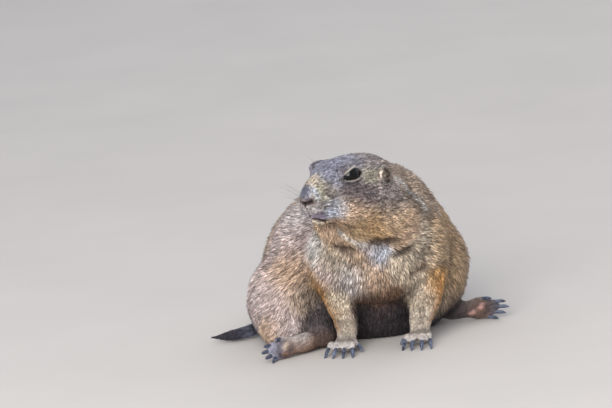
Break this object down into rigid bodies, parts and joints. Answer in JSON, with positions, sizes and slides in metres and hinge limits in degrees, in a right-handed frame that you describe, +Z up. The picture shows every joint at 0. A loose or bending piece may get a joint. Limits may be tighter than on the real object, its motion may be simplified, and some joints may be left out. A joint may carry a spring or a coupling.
{
  "type": "prairie dog",
  "caption": "life-size prairie dog sitting slumped with splayed hind feet, planted front paws and its head turned to its right, as a still display animal",
  "frame": {"origin": "centre of the bounding box's base, on the floor under the belly", "axes": "+X to the animal's left, +Y towards its rump, +Z up; the chest faces -Y and the head is turned to its right"},
  "size_m": [0.1958, 0.1678, 0.1304],
  "materials": {
    "head_fur": "short grey-tan speckled fur",
    "throat_fur": "soft ochre fur",
    "body_fur": "dense tan speckled fur",
    "tail_fur": "dark fur",
    "foreleg_fur": "short cream fur",
    "paw_fur": "very short pale fur",
    "hind_foot_skin": "dark bare sole with short fur on top",
    "ear_fur": "short tan fur",
    "eye": "wet near-black gloss",
    "claw": "smooth dark horn"
  },
  "bodies": {
    "root": {"head": "head_fur", "neck": "throat_fur", "torso": "body_fur", "tail": "tail_fur", "foreleg_left": "foreleg_fur", "foreleg_right": "foreleg_fur", "front_paw_left": "paw_fur", "front_paw_right": "paw_fur", "thigh_left": "body_fur", "thigh_right": "body_fur", "hind_foot_left": "hind_foot_skin", "hind_foot_right": "hind_foot_skin", "ear_left": "ear_fur", "ear_right": "ear_fur", "eye_left": "eye", "eye_right": "eye", "front_claw_left_1": "claw", "front_claw_left_2": "claw", "front_claw_left_3": "claw", "front_claw_left_4": "claw", "front_claw_left_thumb": "claw", "front_claw_right_1": "claw", "front_claw_right_2": "claw", "front_claw_right_3": "claw", "front_claw_right_4": "claw", "front_claw_right_thumb": "claw", "hind_claw_left_1": "claw", "hind_claw_left_2": "claw", "hind_claw_left_3": "claw", "hind_claw_left_4": "claw", "hind_claw_left_5": "claw", "hind_claw_right_1": "claw", "hind_claw_right_2": "claw", "hind_claw_right_3": "claw", "hind_claw_right_4": "claw", "hind_claw_right_5": "claw"}
  },
  "joints": []
}
